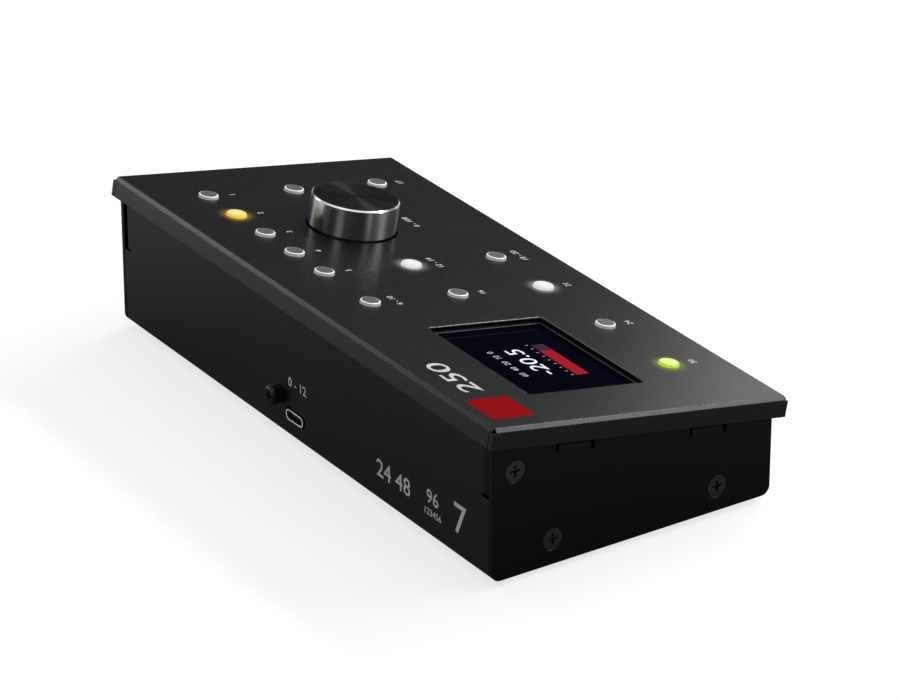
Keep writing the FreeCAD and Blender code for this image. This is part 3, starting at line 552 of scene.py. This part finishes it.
# Plain numbers stand where the printed words are, and a plain square where the motif is
PRINT_THICKNESS = 0.03
PRINT_BOLD = 0.03
LABEL_HEIGHT = 1.9
LABEL_DISTANCE = 8.4
KNOB_LABEL_FROM_REAR = 70.8
LABELS = ["1", "2", "3", "4", "5", "6 - 10", "11", "12 - 14", "16", "17", "18 - 20", "21", "24", "30"]
PRINT_INK = ink("panel_ink", (0.62, 0.62, 0.63))
NAME_INK = ink("large_ink", (0.60, 0.60, 0.61))
RED_INK = ink("red_ink", (0.26, 0.0016, 0.0025), roughness=0.40, gloss=1.06)


def print_on_cover(name, words, u, from_rear, height, finish=PRINT_INK, bold=PRINT_BOLD, wide=1.0):
    mesh = text_mesh(name, words, height, PRINT_THICKNESS, bold)
    place = cover_matrix(u, from_rear, SURFACE + PRINT_THICKNESS / 2)
    add_piece(name, mesh, place @ Matrix.Diagonal((wide, 1, 1, 1)), finish)


for (button, (u, from_rear)), words in zip(BUTTONS.items(), LABELS):
    print_on_cover(f"mark_{button}", words, u, from_rear + LABEL_DISTANCE, LABEL_HEIGHT)
print_on_cover("mark_volume_knob", "0 - 100", KNOB[0], KNOB_LABEL_FROM_REAR, LABEL_HEIGHT)
print_on_cover("mark_large", "250", *LARGE_MARK, height=6.4, finish=NAME_INK, bold=0.04, wide=1.55)
red_square = plate_mesh("red_square", *RED_SQUARE_SIZE, PRINT_THICKNESS, corner=0.2, bevel=0.01)
add_piece("red_square", red_square, cover_matrix(*RED_SQUARE), RED_INK)

# The rounded edge of the display's opening, in the cover's black lacquer painted much lighter as a
# painted highlight, and the ground edge of its glass
WINDOW_SIZE = (50.1, 39.3)
WINDOW_CORNER = 1.2
# The opening's edge is the black lacquer painted light grey: a painted highlight
EDGE_PAINTED_HIGHLIGHT = painted("window_edge_painted_highlight", 0.09, roughness=0.22)
GROUND_GLASS = ink("ground_glass", (0.12, 0.12, 0.13), roughness=0.3)
EDGE_SECTION = [(0.0, 0.0), (0.0, -0.40), (0.14, -0.40), (0.22, -0.24), (0.14, -0.08)]
GLASS_SECTION = [(0.02, 0.0), (0.02, 0.10), (0.22, 0.10), (0.30, 0.0)]
for name, section, height, finish in (
    ("window_edge", EDGE_SECTION, SURFACE, EDGE_PAINTED_HIGHLIGHT),
    ("glass_edge", GLASS_SECTION, GLASS_TOP, GROUND_GLASS),
):
    mesh = frame_mesh(name, *WINDOW_SIZE, WINDOW_CORNER, section)
    add_piece(name, mesh, cover_matrix(*WINDOW, height), finish)

# The picture on the display: a scale, a large number and a level bar
SCREEN_THICKNESS = 0.02
SCREEN_BEVEL = 0.005
SCREEN_MIDDLE = -55.9
BAR_FROM_REAR = 53.0
TICK_COUNT = 9
TICK_PITCH = 2.76
FIRST_TICK = -67.0
TICKS_FROM_REAR = 49.6
SCREEN_WHITE = ink("screen_white", (0.66, 0.68, 0.74), 0.55)
SCREEN_GREY = ink("screen_grey", (0.40, 0.42, 0.50), 0.4)
SCREEN_RED = ink("screen_red", (0.25, 0.004, 0.013), 0.46, gloss=1.08)
SCREEN_SLATE = ink("screen_slate", (0.030, 0.014, 0.028), 0.40, gloss=1.08)


def screen_figures(name, words, from_rear, height, finish, wide=1.0):
    mesh = text_mesh(name, words, height, SCREEN_THICKNESS)
    place = cover_matrix(SCREEN_MIDDLE, from_rear, GLASS_TOP + SCREEN_THICKNESS / 2)
    add_piece(name, mesh, place @ Matrix.Diagonal((wide, 1, 1, 1)), finish)


def screen_plate(name, u, from_rear, width, depth, finish):
    mesh = plate_mesh(name, width, depth, SCREEN_THICKNESS, bevel=SCREEN_BEVEL)
    add_piece(name, mesh, cover_matrix(u, from_rear, GLASS_TOP), finish)


SCALE_FIGURES = "60  40  20  10  0"
screen_figures("screen_scale", SCALE_FIGURES, from_rear=35.6, height=1.9, finish=SCREEN_GREY)
screen_figures("screen_number", "-20.5", from_rear=43.2, height=5.2, finish=SCREEN_WHITE, wide=1.25)
screen_plate("screen_bar", -58.3, BAR_FROM_REAR, width=17.9, depth=4.3, finish=SCREEN_RED)
screen_plate("screen_bar_rest", -47.2, BAR_FROM_REAR, width=4.3, depth=4.3, finish=SCREEN_SLATE)
for i in range(TICK_COUNT):
    u = FIRST_TICK + i * TICK_PITCH
    screen_plate(f"screen_tick_{i}", u, TICKS_FROM_REAR, width=0.22, depth=0.9, finish=SCREEN_GREY)

# Plain numbers on the rear wall, read from behind: the words, X, Z and height in millimetres
REAR_WALL = 46.8
REAR_INK = ink("rear_ink", (0.80, 0.80, 0.80))
REAR_MARKS = {
    "rear_mark_socket": ("0 - 12", -0.4, 20.2, 2.8),
    "rear_mark_1": ("24 48", -50.0, 12.8, 5.2),
    "rear_mark_2": ("96", -69.4, 14.9, 4.2),
    "rear_mark_3": ("123456", -69.4, 10.2, 2.0),
    "rear_mark_4": ("7", -82.6, 14.0, 9.0),
}


def rear_matrix(x, y, z):
    """Turns a piece drawn flat to face the rear, at a place in millimetres."""
    turn = Matrix(((-1, 0, 0), (0, 0, 1), (0, 1, 0))).to_4x4()
    return Matrix.Translation(Vector((x, y, z)) * MM) @ turn


for name, (words, x, z, height) in REAR_MARKS.items():
    mesh = text_mesh(name, words, height, PRINT_THICKNESS, PRINT_BOLD)
    add_piece(name, mesh, rear_matrix(x, REAR_WALL + PRINT_THICKNESS / 2, z), REAR_INK)

# A painted glint at the mouth of the socket's shell: a thin ring that glows
SOCKET = (0.83, 47.2, 10.0)
SOCKET_SIZE = (9.0, 3.3)
SOCKET_CORNER = 1.6
MOUTH_SECTION = [(0.02, 0.0), (0.07, 0.06), (0.26, 0.06), (0.31, 0.0)]
# Painted light: a pale glowing ring stands in for the shell edge's glint
MOUTH_PAINTED_GLINT = ink("mouth_painted_glint", (0.80, 0.80, 0.78), 0.32, roughness=0.3)
mouth = frame_mesh("usb_mouth", *SOCKET_SIZE, SOCKET_CORNER, MOUTH_SECTION)
add_piece("usb_mouth", mouth, rear_matrix(*SOCKET), MOUTH_PAINTED_GLINT)

# Contact pads on both faces of the socket's tongue, in millimetres
CONTACT_GOLD = metal("contact_gold", (0.95, 0.66, 0.28), 0.2)
CONTACT_COUNT = 12
CONTACT_PITCH = 0.5
CONTACT_SIZE = (0.26, 2.4, 0.05)
CONTACT_SETBACK = 1.6
tongue_low, tongue_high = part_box("usb_tongue")
tongue_x = (tongue_low.x + tongue_high.x) / 2
contact_y = tongue_high.y - CONTACT_SETBACK * MM
contact_sides = {"upper": tongue_high.z, "lower": tongue_low.z - CONTACT_SIZE[2] * MM}
for i in range(CONTACT_COUNT):
    x = tongue_x + (i - (CONTACT_COUNT - 1) / 2) * CONTACT_PITCH * MM
    for side, z in contact_sides.items():
        name = f"contact_{side}_{i}"
        mesh = plate_mesh(name, *CONTACT_SIZE, bevel=0.01)
        add_piece(name, mesh, Matrix.Translation((x, contact_y, z)), CONTACT_GOLD)

# The camera of the photograph
AZIMUTH, ELEVATION = math.radians(236.280), math.radians(25.912)
TARGET = Vector((26.904, -23.177, 2.0)) * MM
DISTANCE = 1285.5 * MM
SENSOR_WIDTH = 36.0
FOCAL_LENGTH = 173.5
NEAREST, FARTHEST = 0.05, 30.0
back = Vector((
    math.sin(AZIMUTH) * math.cos(ELEVATION),
    -math.cos(AZIMUTH) * math.cos(ELEVATION),
    math.sin(ELEVATION),
))
camera = bpy.data.objects.new("camera", bpy.data.cameras.new("camera"))
scene.collection.objects.link(camera)
camera.location = TARGET + back * DISTANCE
camera.rotation_mode = "QUATERNION"
camera.rotation_quaternion = (-back).to_track_quat("-Z", "Y")
camera.data.sensor_width = SENSOR_WIDTH
camera.data.lens = FOCAL_LENGTH
camera.data.clip_start, camera.data.clip_end = NEAREST, FARTHEST
scene.camera = camera

# A pale floor, shown white, that keeps a faint shadow and gives only a little light back: to other
# rays it is painted dark near the object as painted shade, and paler further out
FLOOR_HALF = 6.0
FLOOR_CORNERS = ((-1, -1), (1, -1), (1, 1), (-1, 1))
PAINTED_SHADE_REACH = (0.13, 0.40)
SHADOW_FADE = (0.30, 0.60)
SHADED, LIFTED = 0.30, 0.74
floor_mesh = bpy.data.meshes.new("floor")
floor_points = [(x * FLOOR_HALF, y * FLOOR_HALF, 0) for x, y in FLOOR_CORNERS]
floor_mesh.from_pydata(floor_points, [], [range(len(floor_points))])
floor = bpy.data.objects.new("floor", floor_mesh)
scene.collection.objects.link(floor)
paper = Finish("floor_finish")
distance = paper.vector("LENGTH", paper.place)
# Painted shade: to rays other than the camera's the floor is near black close to the object
painted_near_shade = paper.mix(paper.noise(size=300.0), grey(0.05), grey(0.06))
far_share = paper.spread(distance, 0.0, 1.0, *PAINTED_SHADE_REACH)
paper.set(Base_Color=paper.mix(far_share, painted_near_shade, grey(0.55)), Roughness=0.9)
shaded = paper.shader("ShaderNodeBsdfDiffuse", SHADED)
lifted = paper.shader("ShaderNodeEmission", LIFTED)
near_white = paper.link_all(paper.node("ShaderNodeAddShader"), shaded, lifted)
white = paper.shader("ShaderNodeEmission", 1.0)
shown = paper.shader_mix(paper.spread(distance, 0.0, 1.0, *SHADOW_FADE), near_white, white)
lit = paper.principled.outputs["BSDF"]
surface = paper.shader_mix(paper.white_share(), lit, shown)
paper.link(surface, paper.tree.nodes["Material Output"].inputs["Surface"])
floor_mesh.materials.append(paper.material)

# A studio dome that is dark at the horizon and bright overhead; the camera sees plain white
world = bpy.data.worlds.new("studio")
scene.world = world
world.use_nodes = True
world.node_tree.nodes.clear()
studio = Nodes(world.node_tree)
direction = studio.node("ShaderNodeTexCoord").outputs["Generated"]


def facing(towards, strength, start, end):
    """Light that rises smoothly to this strength as a direction turns towards a given one."""
    turned = studio.vector("DOT_PRODUCT", direction, Vector(towards).normalized())
    return studio.spread(turned, 0.0, strength, start, end, curve="SMOOTHSTEP")


overhead = facing((0.15, -0.15, 0.95), 1.1, 0.55, 1.0)
low_sky = facing((0, 0, 1), 0.05, 0.18, 0.50)
dome = studio.node("ShaderNodeBackground")
backdrop = studio.shader("ShaderNodeBackground", 1.0)
sky = studio.link_all(dome, grey(1.0), studio.math("ADD", overhead, low_sky))
surface = studio.shader_mix(studio.white_share(), sky, backdrop)
studio.link(surface, studio.node("ShaderNodeOutputWorld").inputs["Surface"])

# Area lights: the place and the point that each faces, then width, depth and power
MIDDLE = (0, 0, 0.04)
LIGHTS = {
    "front_box": ((0.42, -0.72, 0.27), (-0.08, -0.02, 0.04), 0.34, 0.20, 0.38),
    "front_strip": ((0.09, -0.66, 0.70), MIDDLE, 0.90, 0.08, 6.0),
    "left_strip": ((-0.50, -0.72, 0.45), MIDDLE, 0.30, 0.5, 2.6),
    "right_strip": ((0.95, 0.30, 0.40), MIDDLE, 0.12, 0.7, 1.2),
    "rear_card": ((0.62, 0.58, 0.05), (-0.02, 0.05, 0.04), 0.6, 0.08, 1.5),
    "rear_fill": ((-0.45, 1.05, 0.85), (0, 0, 0.03), 0.40, 0.40, 1.7),
    "left_fill": ((-1.05, -0.33, 0.70), MIDDLE, 0.20, 0.50, 1.3),
}
for name, (place, target, width, depth, power) in LIGHTS.items():
    lamp = bpy.data.lights.new(name, "AREA")
    lamp.shape = "RECTANGLE"
    lamp.size, lamp.size_y = width, depth
    lamp.energy = power
    holder = bpy.data.objects.new(name, lamp)
    scene.collection.objects.link(holder)
    holder.location = place
    aim = Vector(target) - Vector(place)
    holder.rotation_euler = aim.to_track_quat("-Z", "Y").to_euler()

scene.view_settings.view_transform = "Standard"
